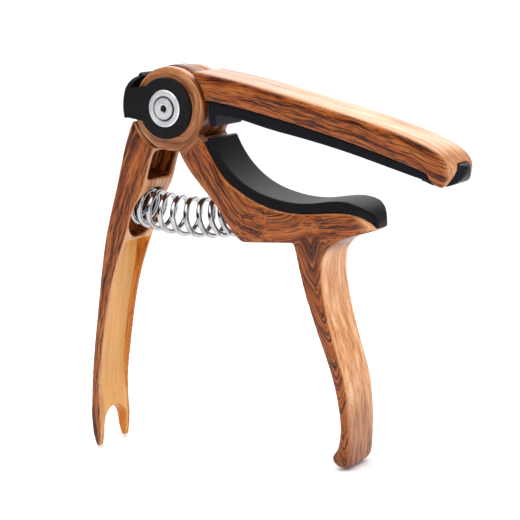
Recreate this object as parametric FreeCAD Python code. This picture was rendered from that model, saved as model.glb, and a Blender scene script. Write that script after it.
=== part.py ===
"""Spring clamp for a guitar neck: a fixed frame, a sprung lever, two rubber pads and a pick holder.

Lengths are millimetres. +Z is up and the clamp stands on its three feet at Z = 0. +X points along
the jaws, away from the pivot, and the pivot turns about Y. Outlines are given from the pivot's
centre as (x, z), and place() moves them into the part's frame.
"""
import FreeCAD, Part
import math
import os

# ---- driving dimensions ---------------------------------------------------------------------
PIVOT_X = -19.9           # the pivot's centre, so that the box is centred on X = 0
PIVOT_Z = 81.8            # and the feet stand at Z = 0

BODY_WIDTH = 12.0         # both castings, along the pivot (Y)
EAR_R = 9.9               # frame's two ears, where the seams are
EAR_TOP_R = 9.3           # and over their top, which sits a little lower
EAR_GAP = 6.6             # space between the ears
TAB_WIDTH = 5.6           # lever's tab between the ears
TAB_R = 9.6
TAB_ROOM_R = 10.2         # floor of the slot that the tab turns in
EAR_ROOM_R = 10.25        # lever's hollow ends, which turn round the ears

PIN_R = 3.0               # pivot barrel
PIN_FIT = 0.04            # running fit in the bush
PIN_BORE_FIT = 0.02       # close fit in the ears
BUSH_R = 3.9
FLANGE_R = 4.25
FLANGE_T = 1.5
SCREW_R = 1.6
SCREW_HEAD_R = 2.6
SCREW_HEAD_T = 1.0
SCREW_HEAD_SUNK = 0.85
SOCKET_R = 0.87           # hexagon socket, across corners / 2
SOCKET_DEPTH = 0.7
WASHER_R = 6.5
WASHER_T = 0.42

PAD_WIDTH = 11.2          # rubber strips, across
TONGUE_WIDTH = 8.6        # rubber inside the bar's channel
TONGUE_TIP_R = 4.2        # its rounded end, seen from above
CRADLE_TIP_R = 5.8        # rounded end of the cradle, seen from above
BAR_TIP_R = 2.6

WALL = 1.3                # side walls of the handle's channel
TINE = 1.9                # each tine of the fork, across
FORK_TOP = -72.7          # top of the arched slot, below the pivot
FOOT = -81.8              # what the clamp stands on, below the pivot
FOOT_CORNER_R = 3.4
FOOT_CUT_LOW = 0.3        # the corner rounds start this far under the feet, so none is tangent to them

SPRING_OD = 9.8
WIRE = 1.3
SPRING_TURNS = 10.0
POCKET_R = 5.25
SPRING_END_GAP = 0.45      # between the end turns and their seats
SPRING_LEFT = (-16.3, -22.0)     # middle of the end on the lever
SPRING_MID = (0.5, -25.7)
SPRING_RIGHT = (15.6, -24.9)     # middle of the end in the frame

RING_IN_R = 4.35
RING_OUT_R = 6.9
RING_T = 1.35
CLIP_IN_R = 10.4          # curved plate that holds a pick against the hub
CLIP_OUT_R = 11.5
CLIP_FROM = 134.0         # degrees round the pivot, from +X towards +Z
CLIP_TO = 189.0
CLIP_CORNER_R = 3.0

HALF = BODY_WIDTH / 2
AXIS = FreeCAD.Vector(0, 1, 0)


# ---- helpers ----------------------------------------------------------------------------------
def place(point, y=0.0):
    """A point of an outline, (x, z) from the pivot, in the part's frame."""
    return FreeCAD.Vector(PIVOT_X + point[0], y, PIVOT_Z + point[1])


def polar(radius, degrees):
    """A point at a radius and an angle from the pivot."""
    a = math.radians(degrees)
    return (radius * math.cos(a), radius * math.sin(a))


def line(a, b, y):
    return Part.LineSegment(place(a, y), place(b, y)).toShape()


def arc(a, through, b, y):
    return Part.Arc(place(a, y), place(through, y), place(b, y)).toShape()


def curve(points, y):
    """One smooth curve through a few points."""
    spline = Part.BSplineCurve()
    spline.interpolate([place(p, y) for p in points])
    return spline.toShape()


def slab(segments, low, high):
    """A closed outline of (kind, points) segments, made solid from Y = low to Y = high."""
    makers = {
        "line": lambda p: line(p[0], p[1], low),
        "arc": lambda p: arc(p[0], p[1], p[2], low),
        "curve": lambda p: curve(p, low),
    }
    edges = [makers[kind](points) for kind, points in segments]
    face = Part.Face(Part.Wire(edges))
    return face.extrude(FreeCAD.Vector(0, high - low, 0))


def disc(radius, low, high, centre=(0.0, 0.0)):
    return Part.makeCylinder(radius, high - low, place(centre, low), AXIS)


def polygon(points, low, high):
    sides = [("line", [a, b]) for a, b in zip(points, points[1:] + points[:1])]
    return slab(sides, low, high)


def corner_cutter(x_low, x_high, z_low, radius):
    """What is left outside two rounded lower corners, seen along X, over a stretch of X."""
    tall, wide = radius, 2 * HALF + 2
    block = Part.makeBox(x_high - x_low, wide, tall, place((x_low, z_low), -wide / 2))
    keep = Part.makeBox(x_high - x_low, 2 * (HALF - radius), tall, place((x_low, z_low), radius - HALF))
    for side in (-1, 1):
        start = place((x_low, z_low + radius), side * (HALF - radius))
        keep = keep.fuse(Part.makeCylinder(radius, x_high - x_low, start, FreeCAD.Vector(1, 0, 0)))
    return block.cut(keep)


def tip_cutter(x_tip, z_low, z_high, radius, half=HALF):
    """What is left outside a rounded end at x_tip, seen from above, of a piece 2 x half wide."""
    tall = z_high - z_low
    block = Part.makeBox(radius + 5, 2 * HALF + 2, tall, place((x_tip - radius, z_low), -HALF - 1))
    flat = 2 * (half - radius)
    keep = Part.makeBox(radius, flat, tall, place((x_tip - radius, z_low), -flat / 2))
    for side in (-1, 1):
        start = place((x_tip - radius, z_low), side * (half - radius))
        keep = keep.fuse(Part.makeCylinder(radius, tall, start))
    return block.cut(keep)


# ---- outlines, from the pivot --------------------------------------------------------------
THROAT = polar(EAR_R, -42)
ARM_FOOT = polar(EAR_R, -79)
CRADLE_TOP = [THROAT, (8.9, -8.1), (12.1, -14.2), (18.0, -19.7), (25.1, -23.0), (35.0, -24.3),
              (44.0, -24.2), (47.6, -25.2), (49.6, -27.6)]
CRADLE_TIP = (49.8, -28.3)
TRIGGER_FRONT = [CRADLE_TIP, (45.6, -29.2), (41.6, -30.4), (38.6, -32.6), (37.4, -36.6), (37.7, -44.0),
                 (39.6, -54.0), (41.4, -62.5), (41.6, -69.0), (40.6, -79.0)]
TRIGGER_BACK = [(37.4, -77.6), (38.4, -75.0), (38.8, -68.5), (37.5, -60.0), (34.2, -49.0),
                (31.6, -37.5), (30.6, -30.8)]
ARM_BACK = [(17.2, -30.8), (14.6, -28.4), (12.0, -24.3), (8.9, -20.0), (5.0, -15.3), ARM_FOOT]
BEAD = [(40.6, -79.0), (38.5, FOOT), (36.2, -79.5), (36.4, -78.4), (37.4, -77.6)]

PAD_TOP = [(10.9, -7.2), (14.0, -13.0), (19.4, -18.0), (25.6, -20.7), (35.0, -22.0), (44.6, -21.8),
           (48.3, -23.6), (50.1, -26.6), (49.8, -28.3)]

BAR_TOP = [(8.0, 7.9), (22.7, 4.4), (35.0, 0.7), (46.7, -3.0), (54.6, -5.7), (62.6, -9.0), (67.6, -11.9),
           (70.2, -14.9)]
BAR_LIP = [(70.2, -14.9), (69.2, -17.2), (67.4, -19.0)]
LIP_BACK = [(67.4, -19.0), (65.0, -17.7), (64.0, -15.8)]
BAR_UNDER = [(64.0, -15.8), (55.5, -12.4), (39.3, -6.7), (28.6, -3.4), (19.3, -0.8), (10.9, 1.2)]
BAR_CEILING = [(10.9, 3.4), (19.3, 1.6), (28.6, -1.0), (39.3, -4.2), (55.5, -9.6), (64.5, -12.9), (70.6, -14.6)]
PAD_UNDER = [(64.0, -17.5), (59.3, -15.9), (47.3, -11.7), (34.4, -7.8), (24.6, -5.1), (17.3, -2.9), (12.7, -2.3)]
BULGE = [(70.6, -14.6), (71.0, -15.9), (70.0, -17.8), (67.2, -18.8), (62.0, -16.9)]

HANDLE_FRONT = [polar(TAB_R, 243), (-6.6, -12.4), (-8.6, -17.4), (-12.4, -23.2), (-15.2, -29.0),
                (-18.6, -36.0), (-22.2, -45.2), (-25.6, -58.1), (-27.6, -68.0), (-28.0, -76.0), (-29.0, -81.1)]
HANDLE_TIP = [(-29.0, -81.1), (-29.7, FOOT), (-30.4, -81.1)]
HANDLE_BACK = [(-30.4, -81.1), (-31.1, -76.6), (-30.7, -70.7), (-29.1, -61.0), (-25.8, -46.5), (-20.9, -28.0),
               (-16.1, -15.7), (-12.4, -6.2), polar(EAR_ROOM_R, 192.5)]


# ---- frame casting ------------------------------------------------------------------------
def make_frame():
    """Two ears, the arm, the cradle under the neck and the front trigger, in one casting."""
    outline = [
        ("curve", CRADLE_TOP),
        ("line", [CRADLE_TOP[-1], CRADLE_TIP]),
        ("curve", TRIGGER_FRONT),
        ("arc", BEAD[:3]),
        ("arc", BEAD[2:]),
        ("curve", TRIGGER_BACK),
        ("line", [TRIGGER_BACK[-1], ARM_BACK[0]]),
        ("curve", ARM_BACK),
        ("arc", [ARM_FOOT, polar(EAR_TOP_R, 120), THROAT]),
    ]
    body = slab(outline, -HALF, HALF)
    body = body.cut(corner_cutter(34.0, 44.0, FOOT - FOOT_CUT_LOW, FOOT_CORNER_R))
    body = body.cut(tip_cutter(CRADLE_TIP[0] + 0.3, -36.0, -20.0, CRADLE_TIP_R))
    body = body.cut(disc(TAB_ROOM_R, -EAR_GAP / 2, EAR_GAP / 2))
    body = body.cut(disc(PIN_R + PIN_BORE_FIT, -HALF, HALF))
    return body.cut(spring_pocket(SPRING_RIGHT, spring_angle(1.0) + 180, 14.0)).removeSplitter()


# ---- spring -------------------------------------------------------------------------------
def spring_circle():
    """Centre and radius of the arc that the coil's middle line follows, from the pivot."""
    (x1, z1), (x2, z2), (x3, z3) = SPRING_LEFT, SPRING_MID, SPRING_RIGHT
    d = 2 * (x1 * (z2 - z3) + x2 * (z3 - z1) + x3 * (z1 - z2))
    s1, s2, s3 = x1 * x1 + z1 * z1, x2 * x2 + z2 * z2, x3 * x3 + z3 * z3
    cx = (s1 * (z2 - z3) + s2 * (z3 - z1) + s3 * (z1 - z2)) / d
    cz = (s1 * (x3 - x2) + s2 * (x1 - x3) + s3 * (x2 - x1)) / d
    return (cx, cz), math.hypot(x1 - cx, z1 - cz)


def spring_turn(t):
    """Angle round the arc's centre, in radians, at a share t of its length."""
    (cx, cz), _ = spring_circle()
    start = math.atan2(SPRING_LEFT[1] - cz, SPRING_LEFT[0] - cx)
    end = math.atan2(SPRING_RIGHT[1] - cz, SPRING_RIGHT[0] - cx)
    return start + t * (end - start)


def spring_angle(t):
    """Direction of the coil's middle line at a share t of its length, in degrees."""
    return math.degrees(spring_turn(t)) + 90


def spring_pocket(seat, degrees, depth):
    """Round pocket from a seat outwards along a direction in the XZ plane."""
    a = math.radians(degrees)
    return Part.makeCylinder(POCKET_R, depth, place(seat), FreeCAD.Vector(math.cos(a), 0, math.sin(a)))


def make_spring():
    """Compression coil on a curved middle line, from the lever's pocket to the frame's."""
    (cx, cz), bow_r = spring_circle()
    coil_r = (SPRING_OD - WIRE) / 2
    share = (WIRE / 2 + SPRING_END_GAP) / (bow_r * abs(spring_turn(1.0) - spring_turn(0.0)))
    points = []
    steps = int(SPRING_TURNS * 10)
    for i in range(steps + 1):
        t = share + (1 - 2 * share) * i / steps
        a, w = spring_turn(t), 2 * math.pi * SPRING_TURNS * i / steps
        r = bow_r + coil_r * math.cos(w)
        points.append(place((cx + r * math.cos(a), cz + r * math.sin(a)), coil_r * math.sin(w)))
    path = Part.BSplineCurve()
    path.interpolate(points)
    first, ahead = path.value(path.FirstParameter), path.tangent(path.FirstParameter)[0]
    ring = Part.Wire([Part.Circle(first, ahead, WIRE / 2).toShape()])
    return Part.Wire([path.toShape()]).makePipeShell([ring], True, True)


# ---- lever casting ------------------------------------------------------------------------
def make_lever(tongue):
    """Upper bar, the tab between the ears and the channelled rear handle with its fork."""
    outline = [
        ("curve", BAR_TOP),
        ("curve", BAR_LIP),
        ("curve", LIP_BACK),
        ("curve", BAR_UNDER),
        ("line", [BAR_UNDER[-1], polar(TAB_R, 4)]),
        ("arc", [polar(TAB_R, 4), polar(TAB_R, -60), HANDLE_FRONT[0]]),
        ("curve", HANDLE_FRONT),
        ("arc", HANDLE_TIP),
        ("curve", HANDLE_BACK),
        ("line", [HANDLE_BACK[-1], polar(TAB_R, 190)]),
        ("arc", [polar(TAB_R, 190), polar(TAB_R, 120), polar(TAB_R, 50)]),
        ("line", [polar(TAB_R, 50), polar(EAR_ROOM_R, 46)]),
        ("line", [polar(EAR_ROOM_R, 46), BAR_TOP[0]]),
    ]
    body = slab(outline, -HALF, HALF)
    for side in (-1, 1):
        low, high = sorted((side * TAB_WIDTH / 2, side * (HALF + 1)))
        body = body.cut(disc(EAR_ROOM_R, low, high))
    body = body.cut(tip_cutter(BAR_TOP[-1][0], -24.0, 0.0, BAR_TIP_R))
    body = body.cut(tongue)
    for hollow in handle_hollows():
        body = body.cut(hollow)
    return body.cut(disc(BUSH_R, -HALF, HALF)).removeSplitter()


def handle_hollows():
    """Upper pocket, spring pocket, long tapering channel and fork slot."""
    inner = HALF - WALL
    upper = polygon([(-3.0, -10.5), (-6.0, -17.4), (-13.3, -14.8), (-10.8, -8.4)], -inner, inner)
    upper = upper.cut(disc(EAR_ROOM_R + 1.2, -inner, inner))
    tilt = spring_angle(0.0)
    pocket = spring_pocket(SPRING_LEFT, tilt, 14.0)
    a = math.radians(tilt - 90)
    lower_seat = (SPRING_LEFT[0] + 2.6 * math.cos(a), SPRING_LEFT[1] + 2.6 * math.sin(a))
    pocket = pocket.fuse(spring_pocket(lower_seat, tilt, 14.0))
    bridge = Part.makeBox(14.0, 2 * POCKET_R, 2.6)
    bridge.translate(FreeCAD.Vector(0, -POCKET_R, -2.6))
    bridge.rotate(FreeCAD.Vector(0, 0, 0), AXIS, -tilt)
    bridge.translate(place(SPRING_LEFT))
    pocket = pocket.fuse(bridge)
    long = slab([
        ("line", [(-14.0, -31.0), (-20.0, -31.6)]),
        ("curve", [(-20.0, -31.6), (-24.2, -46.8), (-27.6, -61.0), (-28.2, -66.0), (-27.4, -71.4)]),
        ("line", [(-27.4, -71.4), (-12.0, -71.4)]),
        ("line", [(-12.0, -71.4), (-14.0, -31.0)]),
    ], -inner, inner)
    slot_half = HALF - TINE
    spring_line = FORK_TOP - slot_half
    slot = Part.makeBox(14.0, 2 * slot_half, 14.0, place((-38.0, spring_line - 14.0), -slot_half))
    arch = Part.makeCylinder(slot_half, 14.0, place((-38.0, spring_line)), FreeCAD.Vector(1, 0, 0))
    return [upper, pocket, long, slot.fuse(arch)]


# ---- rubber pads --------------------------------------------------------------------------
def make_tongue():
    """Rubber inside the bar's channel, with the rounded end that shows at the bar's tip."""
    half = TONGUE_WIDTH / 2
    outline = [
        ("curve", BAR_CEILING),
        ("curve", BULGE),
        ("line", [BULGE[-1], (62.0, -14.4)]),
        ("line", [(62.0, -14.4), (10.9, 1.2)]),
        ("line", [(10.9, 1.2), BAR_CEILING[0]]),
    ]
    x_tip = BULGE[1][0]
    return slab(outline, -half, half).cut(tip_cutter(x_tip, -24.0, 0.0, TONGUE_TIP_R, half))


def make_upper_pad(tongue):
    """Strip under the bar, with a small lip at the hinge end."""
    half = PAD_WIDTH / 2
    strip = slab([
        ("curve", list(reversed(BAR_UNDER))),
        ("line", [BAR_UNDER[0], PAD_UNDER[0]]),
        ("curve", PAD_UNDER),
        ("line", [PAD_UNDER[-1], (12.4, -4.7)]),
        ("line", [(12.4, -4.7), (10.7, -4.6)]),
        ("line", [(10.7, -4.6), (10.9, 1.2)]),
    ], -half, half)
    return strip.fuse(tongue).removeSplitter()


def make_cradle_pad():
    """Pad along the cradle, with a rounded end like the cradle's."""
    half = PAD_WIDTH / 2
    outline = [
        ("curve", CRADLE_TOP),
        ("line", [CRADLE_TOP[-1], CRADLE_TIP]),
        ("curve", list(reversed(PAD_TOP))),
        ("line", [PAD_TOP[0], THROAT]),
    ]
    pad = slab(outline, -half, half)
    gap = polygon([(5.0, -4.0), (9.6, -5.6), (9.9, -7.7), (7.9, -8.5)], -half, half)
    return pad.cut(gap).cut(tip_cutter(CRADLE_TIP[0] + 0.4, -36.0, -20.0, CRADLE_TIP_R - 0.2))


# ---- pivot --------------------------------------------------------------------------------
def make_pivot():
    """Flanged barrel, the screw in it, the flanged nut on the far side, the bush and washers."""
    face = HALF + FLANGE_T
    barrel = disc(PIN_R, -face, HALF).fuse(disc(FLANGE_R, -face, -HALF))
    barrel = barrel.cut(disc(SCREW_HEAD_R + 0.1, -face, -face + SCREW_HEAD_SUNK))
    barrel = barrel.cut(disc(SCREW_R + 0.05, -face, HALF))
    head_top = -face + SCREW_HEAD_SUNK - SCREW_HEAD_T
    screw = disc(SCREW_HEAD_R, head_top, head_top + SCREW_HEAD_T)
    screw = screw.fuse(disc(SCREW_R, head_top, HALF + 1.0))
    corners = [place(polar(SOCKET_R, 60 * k), head_top) for k in range(7)]
    socket = Part.Face(Part.makePolygon(corners)).extrude(FreeCAD.Vector(0, SOCKET_DEPTH, 0))
    screw = screw.cut(socket)
    nut = disc(FLANGE_R, HALF, face).cut(disc(SCREW_R + 0.05, HALF, HALF + 1.05))
    nut = nut.fuse(disc(SCREW_HEAD_R, face, face + SCREW_HEAD_T - SCREW_HEAD_SUNK)).removeSplitter()
    bush = disc(BUSH_R, -TAB_WIDTH / 2, TAB_WIDTH / 2).cut(disc(PIN_R + PIN_FIT, -TAB_WIDTH / 2, TAB_WIDTH / 2))
    parts = {"pivot_barrel": barrel.removeSplitter(), "pivot_screw": screw, "pivot_nut": nut, "pivot_bush": bush}
    for name, side in (("near_washer", -1), ("far_washer", 1)):
        low, high = sorted((side * TAB_WIDTH / 2, side * (TAB_WIDTH / 2 + WASHER_T)))
        parts[name] = disc(WASHER_R, low, high).cut(disc(PIN_R + PIN_FIT, low, high))
    return parts


# ---- pick holder --------------------------------------------------------------------------
def make_pick_holder():
    """Rubber clip: a ring and a cheek on each side, and a curved plate behind the hub."""
    outer = HALF + RING_T
    middle = (CLIP_FROM + CLIP_TO) / 2
    plate = slab([
        ("arc", [polar(CLIP_OUT_R, a) for a in (CLIP_FROM, middle, CLIP_TO)]),
        ("line", [polar(CLIP_OUT_R, CLIP_TO), polar(CLIP_IN_R, CLIP_TO)]),
        ("arc", [polar(CLIP_IN_R, a) for a in (CLIP_TO, middle, CLIP_FROM)]),
        ("line", [polar(CLIP_IN_R, CLIP_FROM), polar(CLIP_OUT_R, CLIP_FROM)]),
    ], -outer, outer)
    low = polar(CLIP_IN_R, CLIP_FROM)[1] - CLIP_CORNER_R
    for side in (-1, 1):
        y_axis = side * (outer - CLIP_CORNER_R)
        corner = Part.makeBox(14.0, CLIP_CORNER_R, 8.0, place((-15.0, low), min(y_axis, side * outer)))
        round_bar = Part.makeCylinder(CLIP_CORNER_R, 14.0, place((-15.0, low), y_axis), FreeCAD.Vector(1, 0, 0))
        plate = plate.cut(corner.cut(round_bar))
    holder = plate
    for side in (-1, 1):
        y_low, y_high = sorted((side * HALF, side * outer))
        cheek = slab([
            ("line", [polar(RING_OUT_R - 0.5, 205), polar(CLIP_IN_R + 0.3, CLIP_TO)]),
            ("arc", [polar(CLIP_IN_R + 0.3, a) for a in (CLIP_TO, 172, 152)]),
            ("arc", [polar(CLIP_IN_R + 0.3, 152), (-6.9, 5.2), polar(RING_OUT_R - 0.5, 122)]),
            ("line", [polar(RING_OUT_R - 0.5, 122), polar(RING_OUT_R - 0.5, 205)]),
        ], y_low, y_high)
        holder = holder.fuse(cheek).fuse(disc(RING_OUT_R, y_low, y_high))
        holder = holder.cut(disc(RING_IN_R, y_low, y_high))
    return holder.removeSplitter()


# ---- all pieces ---------------------------------------------------------------------------
tongue = make_tongue()
pieces = {
    "frame": make_frame(),
    "lever": make_lever(tongue),
    "upper_pad": make_upper_pad(tongue),
    "cradle_pad": make_cradle_pad(),
    "spring": make_spring(),
    "pick_holder": make_pick_holder(),
}
pieces.update(make_pivot())

os.makedirs("parts", exist_ok=True)
for name, shape in pieces.items():
    solid = shape.Solids[0] if len(shape.Solids) == 1 else shape
    solid.exportStep(f"parts/{name}.step")
    box = solid.BoundBox
    print(f"{name:13s} solids {len(shape.Solids)} valid {shape.isValid()} volume {solid.Volume:8.1f} "
          f"X {box.XMin:6.2f}..{box.XMax:6.2f} Y {box.YMin:6.2f}..{box.YMax:6.2f} Z {box.ZMin:6.2f}..{box.ZMax:6.2f}")
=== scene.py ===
"""Looks for a sprung guitar capo: printed castings, rubber pads, a coil and the pivot's hardware.

Lengths in the classes are millimetres and become metres in the meshes. Outlines and limbs are
given from the pivot's centre as (x, z); Capo.at() moves them into the part's frame.
"""
from __future__ import annotations

import logging
import math
from dataclasses import dataclass
from enum import Enum
from typing import Callable, ClassVar, Iterable

import bmesh
import bpy
import numpy as np
from mathutils import Matrix, Vector
from mathutils.bvhtree import BVHTree

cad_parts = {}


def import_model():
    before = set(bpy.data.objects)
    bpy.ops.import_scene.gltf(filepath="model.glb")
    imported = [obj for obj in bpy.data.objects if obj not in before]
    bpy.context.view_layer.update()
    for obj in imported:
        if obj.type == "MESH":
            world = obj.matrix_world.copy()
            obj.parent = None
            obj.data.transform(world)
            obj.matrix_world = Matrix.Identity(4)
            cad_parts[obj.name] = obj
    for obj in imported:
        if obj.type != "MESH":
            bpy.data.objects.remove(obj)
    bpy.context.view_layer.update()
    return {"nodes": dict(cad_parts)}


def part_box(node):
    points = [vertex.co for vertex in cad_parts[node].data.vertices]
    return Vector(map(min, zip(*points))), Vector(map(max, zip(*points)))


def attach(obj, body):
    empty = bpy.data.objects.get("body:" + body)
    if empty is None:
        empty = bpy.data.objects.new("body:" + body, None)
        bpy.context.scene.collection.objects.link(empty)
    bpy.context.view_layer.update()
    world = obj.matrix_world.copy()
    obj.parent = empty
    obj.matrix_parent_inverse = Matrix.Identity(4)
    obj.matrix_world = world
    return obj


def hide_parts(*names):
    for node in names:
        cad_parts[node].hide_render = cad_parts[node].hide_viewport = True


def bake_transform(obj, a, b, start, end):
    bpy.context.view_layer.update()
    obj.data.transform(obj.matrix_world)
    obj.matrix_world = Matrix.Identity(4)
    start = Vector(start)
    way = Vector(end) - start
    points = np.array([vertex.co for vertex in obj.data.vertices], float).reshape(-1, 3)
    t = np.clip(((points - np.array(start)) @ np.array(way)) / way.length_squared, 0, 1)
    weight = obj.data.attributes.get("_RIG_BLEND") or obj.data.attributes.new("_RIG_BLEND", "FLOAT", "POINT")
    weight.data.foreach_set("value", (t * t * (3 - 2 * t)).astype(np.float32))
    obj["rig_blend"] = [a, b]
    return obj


LOG = logging.getLogger("capo")
MM = 0.001

ENDLESS = 1e9           # a length past every piece
SHARP_DEG = 32.0        # turn between two faces from which their edge is rounded
FLAT_DEG = 0.4          # turn up to which two faces are one flat
WELD = 2e-6             # metres within which two vertices are one
NEIGHBOUR_FLOOR = 0.3   # keeps a limb's weight finite on its own spine
FILM_TURN = (0.25, 0.8)     # sideways facing over which the printed film turns an edge

MOST_STRAY = 0.45       # share of a bevel's width that a vertex may lie off the first surface
RELAX_FULL = 0.5        # how far a relaxing step goes to the neighbours' mean
RELAX_LEAST = 0.4       # least share of that, at the sharpest places
CORNER_LOSS = math.sqrt(2) - 1      # how far a rounding of radius 1 lies inside a square corner
SLACK = 1.1             # and how much further a vertex may lie
FLATS_WEIGHT = 60       # how far the broad faces rule the shading, in percent

Tree = bpy.types.NodeTree
Socket = bpy.types.NodeSocket
Material = bpy.types.Material
Piece = bpy.types.Object
Point = tuple[float, float]
Scale = tuple[float, float, float]
Span = tuple[float, float]
Stops = Iterable[tuple[float, str]]


# ---- small helpers -------------------------------------------------------------------------------
def linear(code: str, alpha: float = 1.0) -> tuple[float, float, float, float]:
    """A linear colour from an sRGB hex code.

    Args:
        code: Six hex digits, with or without a leading hash.
        alpha: Opacity.

    Returns:
        Linear red, green, blue and alpha.
    """
    digits = code.lstrip("#")
    channels = []
    for i in (0, 2, 4):
        c = int(digits[i:i + 2], 16) / 255
        channels.append(c / 12.92 if c <= 0.04045 else ((c + 0.055) / 1.055) ** 2.4)
    return (channels[0], channels[1], channels[2], alpha)


def add_node(tree: Tree, kind: str, settings: dict | None = None,
             values: dict | None = None, links: dict | None = None,
             stops: Stops = ()) -> bpy.types.Node:
    """Adds a node with its settings, constants, links and, on a colour ramp, its stops.

    Args:
        tree: Tree that gets the node.
        kind: Node type's identifier.
        settings: Attribute name to value.
        values: Input name or index to constant.
        links: Input name or index to the output socket that feeds it.
        stops: Positions and sRGB hex codes of a colour ramp.

    Returns:
        The new node.
    """
    node = tree.nodes.new(kind)
    for name, value in (settings or {}).items():
        setattr(node, name, value)
    for key, value in (values or {}).items():
        node.inputs[key].default_value = value
    for key, socket in (links or {}).items():
        tree.links.new(socket, node.inputs[key])
    for i, (position, code) in enumerate(stops):
        elements = node.color_ramp.elements
        element = elements[i] if i < len(elements) else elements.new(position)
        element.position, element.color = position, linear(code)
    return node


def worked_out(tree: Tree, known: dict[str, Socket],
               rows: Iterable[tuple[str | float, ...]]) -> dict[str, Socket]:
    """Adds the nodes that work out a table of sums.

    Args:
        tree: Tree that gets the nodes.
        known: Name to the output socket that gives it.
        rows: For each sum its name, its operation, and its operands as names or numbers.

    Returns:
        The known sockets and those of the sums.
    """
    found = dict(known)
    for result, operation, *operands in rows:
        numbers = {i: v for i, v in enumerate(operands) if isinstance(v, float)}
        sockets = {i: found[v] for i, v in enumerate(operands) if isinstance(v, str)}
        found[result] = add_node(tree, "ShaderNodeMath", {"operation": operation}, numbers,
                                 sockets).outputs[0]
    return found


def smooth(edge_low: float, edge_high: float, x: np.ndarray) -> np.ndarray:
    """Smooth step.

    Args:
        edge_low: Where it is 0.
        edge_high: Where it is 1.
        x: Values.

    Returns:
        The step at each value.
    """
    t = np.clip((x - edge_low) / (edge_high - edge_low), 0.0, 1.0)
    return t * t * (3 - 2 * t)


def vertex_vectors(mesh: bpy.types.Mesh, name: str) -> np.ndarray:
    """One vector for each vertex of a mesh.

    Args:
        mesh: Mesh to read.
        name: "co" for places in metres, or "normal" for directions.

    Returns:
        An (n, 3) array.
    """
    out = np.empty(len(mesh.vertices) * 3)
    mesh.vertices.foreach_get(name, out)
    return out.reshape(-1, 3)


# ---- the capo's own frame ------------------------------------------------------------------------
@dataclass(frozen=True)
class Capo:
    """Where the pivot is, which all sizes are given from."""

    pivot_x: float = -19.9
    pivot_z: float = 81.8
    half_width: float = 6.0

    def at(self, x: float, z: float, y: float = 0.0) -> Vector:
        """A point given from the pivot in millimetres, in the part's frame in metres."""
        return Vector(((self.pivot_x + x) * MM, y * MM, (self.pivot_z + z) * MM))

    def local(self, points: np.ndarray) -> np.ndarray:
        """Points of the part's frame in metres, given from the pivot in millimetres."""
        return points / MM - np.array([self.pivot_x, 0.0, self.pivot_z])


CAPO = Capo()


@dataclass(frozen=True)
class Region:
    """A stretch of the side view, in millimetres from the pivot; a side left out is open."""

    left: float = -ENDLESS
    right: float = ENDLESS
    low: float = -ENDLESS
    high: float = ENDLESS

    def holds(self, x: np.ndarray, z: np.ndarray) -> np.ndarray:
        """Whether each place lies inside."""
        return (x > self.left) & (x < self.right) & (z > self.low) & (z < self.high)


@dataclass(frozen=True)
class PaintedLight:
    """Painted light that comes in as a surface turns one way and, in millimetres, from place to place."""

    turn: Span
    start: Span
    share: float = 1.0

    def at(self, facing: np.ndarray, place: np.ndarray) -> np.ndarray:
        """Its share for each vertex."""
        return smooth(*self.turn, facing) * smooth(*self.start, place) * self.share


@dataclass(frozen=True)
class Limb:
    """A stretch of casting that the printed grain runs along."""

    spine: tuple[Point, ...]
    flip: bool = False
    chevron: float = 0.0      # millimetres across per millimetre along, for a nested V
    apex: float = 0.15        # square millimetres, by which the V's points are blunted
    reach: float = 7.0        # millimetres over which it gives way to its neighbours
    per_span: int = 10        # steps of the smooth curve between two points

    def smoothed(self) -> list[np.ndarray]:
        """The spine as a smooth curve through its points.

        Returns:
            Points from the pivot, in millimetres.
        """
        points = [np.array(p) for p in self.spine]
        points = [2 * points[0] - points[1], *points, 2 * points[-1] - points[-2]]
        out = []
        for p0, p1, p2, p3 in zip(points, points[1:], points[2:], points[3:]):
            for k in range(self.per_span):
                t = k / self.per_span
                out.append(0.5 * (2 * p1 + (p2 - p0) * t + (2 * p0 - 5 * p1 + 4 * p2 - p3) * t * t
                                  + (3 * p1 - p0 - 3 * p2 + p3) * t ** 3))
        return [*out, points[-2]]

    def follow(self, xz: np.ndarray) -> tuple[np.ndarray, np.ndarray, np.ndarray]:
        """Coordinates along and across the limb.

        Args:
            xz: Points from the pivot, in millimetres.

        Returns:
            Distance along the spine, signed distance across it and distance from it.
        """
        best = np.full(len(xz), ENDLESS)
        along = np.zeros(len(xz))
        across = np.zeros(len(xz))
        run = 0.0
        spine = self.smoothed()
        last = len(spine) - 2
        for i, (a, b) in enumerate(zip(spine, spine[1:])):
            step = b - a
            length = float(np.hypot(*step))
            unit = step / length
            t = (xz - a) @ unit
            low = -ENDLESS if i == 0 else 0.0
            high = ENDLESS if i == last else length
            held = np.clip(t, low, high)
            foot = a + held[:, None] * unit
            away = xz - foot
            distance = np.hypot(away[:, 0], away[:, 1])
            side = unit[0] * (xz[:, 1] - a[1]) - unit[1] * (xz[:, 0] - a[0])
            nearer = distance < best
            best = np.where(nearer, distance, best)
            along = np.where(nearer, run + held, along)
            across = np.where(nearer, np.sign(side) * distance, across)
            beyond = np.maximum(np.maximum(-t, 0), np.maximum(t - length, 0))
            outside = np.hypot(distance, beyond)
            best = np.where(nearer & ((i == 0) | (i == last)), outside, best)
            run += length
        if self.flip:
            across = -across
        if self.chevron:
            across = np.sqrt(across ** 2 + self.apex) + self.chevron * along
        return along, across, best


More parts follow.
